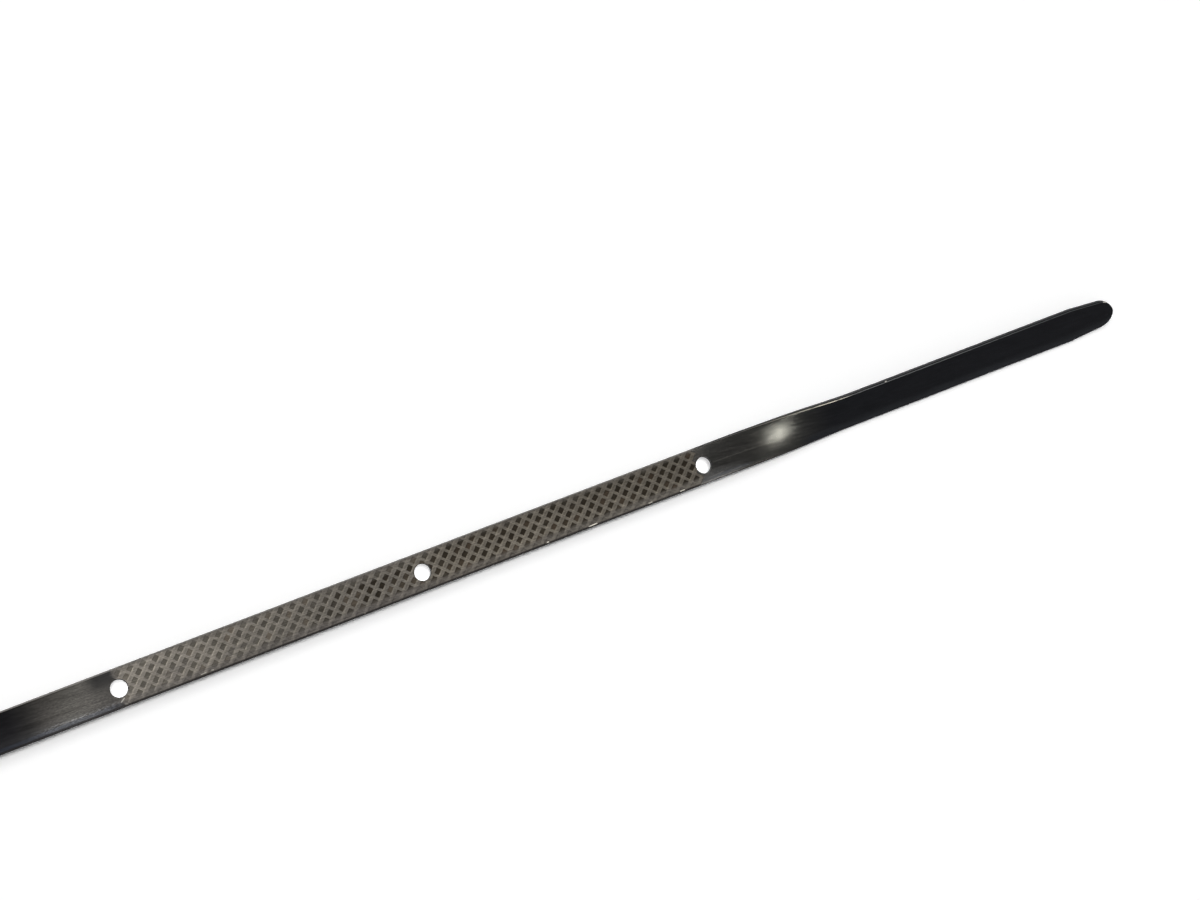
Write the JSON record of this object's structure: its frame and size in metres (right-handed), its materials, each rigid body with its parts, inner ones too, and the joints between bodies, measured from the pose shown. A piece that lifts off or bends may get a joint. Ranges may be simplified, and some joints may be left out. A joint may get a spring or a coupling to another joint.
{
  "type": "engine oil dipstick",
  "caption": "Flat steel engine oil dipstick: knurled measuring zone between punched level holes, twisted round-nosed tip, and a moulded plug handle with a finger ring.",
  "frame": {"origin": "where the plug's axis meets the front face of the stop, the datum from which the level holes are measured", "axes": "+X runs along the stick from the plug to the tip, +Y across the blade's width, +Z square to the blade's flat, on the knurled side"},
  "size_m": [0.3432, 0.03, 0.009],
  "materials": {
    "blade_steel": "dark, oil-stained spring steel, brushed lengthwise, with matt knurl grooves",
    "handle_plastic": "satin moulded nylon",
    "seal_rubber": "smooth black nitrile rubber",
    "pin_steel": "bright drawn steel"
  },
  "bodies": {
    "root": {"blade": "blade_steel", "handle": "handle_plastic", "rear_seal": "seal_rubber", "front_seal": "seal_rubber", "retaining_pin": "pin_steel"}
  },
  "joints": []
}
